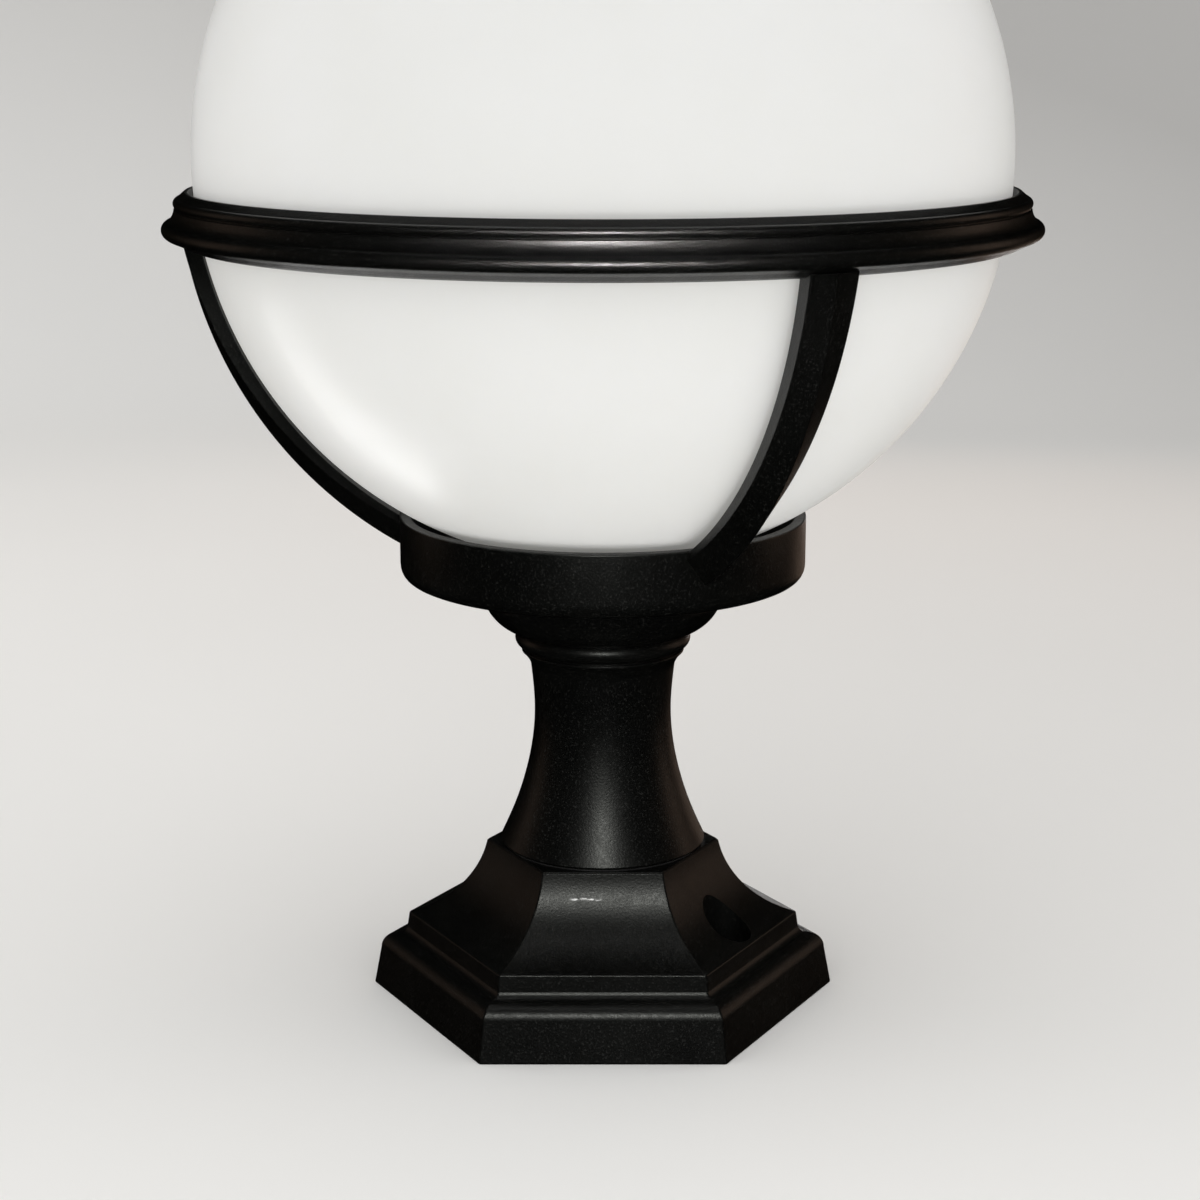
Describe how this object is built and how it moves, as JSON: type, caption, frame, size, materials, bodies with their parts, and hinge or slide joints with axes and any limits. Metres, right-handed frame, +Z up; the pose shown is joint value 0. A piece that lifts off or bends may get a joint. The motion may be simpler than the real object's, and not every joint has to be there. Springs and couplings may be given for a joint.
{
  "type": "pier lantern",
  "caption": "Outdoor pedestal lantern: an opal globe in a cast ring cage with curved arms, on a waisted column and a hexagonal base for a pier top.",
  "frame": {"origin": "centre of the hexagonal base's underside, on the lantern's axis", "axes": "+Z up along the lantern's axis; the base's front flat faces -Y; X to the right seen from the front"},
  "size_m": [0.2694, 0.2694, 0.3954],
  "materials": {
    "black_paint": "satin black powder paint with a fine grain, over cast aluminium",
    "opal": "gloss opal white",
    "steel": "zinc plated",
    "rubber": "matt black",
    "holder_plastic": "moulded black",
    "ceramic": "glazed white",
    "brass": "plain",
    "solder": "tinned",
    "black_glass": "glossy black",
    "nickel": "nickel plated",
    "white_plastic": "moulded white",
    "board": "white faced",
    "bulb_opal": "opal white, satin",
    "lead_brown": "insulated core",
    "lead_blue": "insulated core",
    "lead_green": "green and yellow insulated core"
  },
  "bodies": {
    "lantern": {"hex_base": "black_paint", "column": "black_paint", "neck_collar": "black_paint", "gallery": "black_paint", "cage_ring": "black_paint", "arm_front": "black_paint", "arm_rear": "black_paint", "arm_left": "black_paint", "arm_foot_screws": "steel", "ring_screws": "steel", "tie_tube": "steel", "lower_washer": "steel", "lower_nut": "steel", "upper_washer": "steel", "upper_nut": "steel", "earth_screw": "steel", "block_screw": "steel", "holder_terminals": "brass", "foot_gasket": "rubber", "globe_carrier": "holder_plastic", "holder_cap": "holder_plastic", "holder_body": "holder_plastic", "holder_insert": "ceramic", "holder_shell": "brass", "centre_contact": "brass", "terminal_block": "white_plastic", "terminal_tubes": "brass", "terminal_screws": "steel", "earth_tag": "brass", "live_lead": "lead_brown", "neutral_lead": "lead_blue", "earth_lead": "lead_green"},
    "seal": {"globe_seal": "rubber"},
    "globe": {"globe": "opal"},
    "lamp_button": {"lamp_contact": "solder"},
    "lamp": {"lamp_insulator": "black_glass", "lamp_cap": "nickel", "lamp_housing": "white_plastic", "led_board": "board", "lamp_bulb": "bulb_opal"}
  },
  "joints": [
    {"name": "globe_rise", "type": "slide", "parent": "lantern", "child": "seal", "axis": [0, 0, 1], "range_m": [0, 0.006]},
    {"name": "globe_turn", "type": "hinge", "parent": "seal", "child": "globe", "pos_m": [0, 0, 0.15], "axis": [0, 0, 1], "range_deg": [0, 540]},
    {"name": "lamp_rise", "type": "slide", "parent": "lantern", "child": "lamp_button", "axis": [0, 0, 1], "range_m": [0, 0.0181]},
    {"name": "lamp_turn", "type": "hinge", "parent": "lamp_button", "child": "lamp", "pos_m": [0, 0, 0.182], "axis": [0, 0, 1], "range_deg": [0, 1800]}
  ],
  "couplings": [
    {"joint": "globe_rise", "follows": "globe_turn", "m_per_rad": 0.00063662},
    {"joint": "lamp_rise", "follows": "lamp_turn", "m_per_rad": 0.00057614}
  ]
}
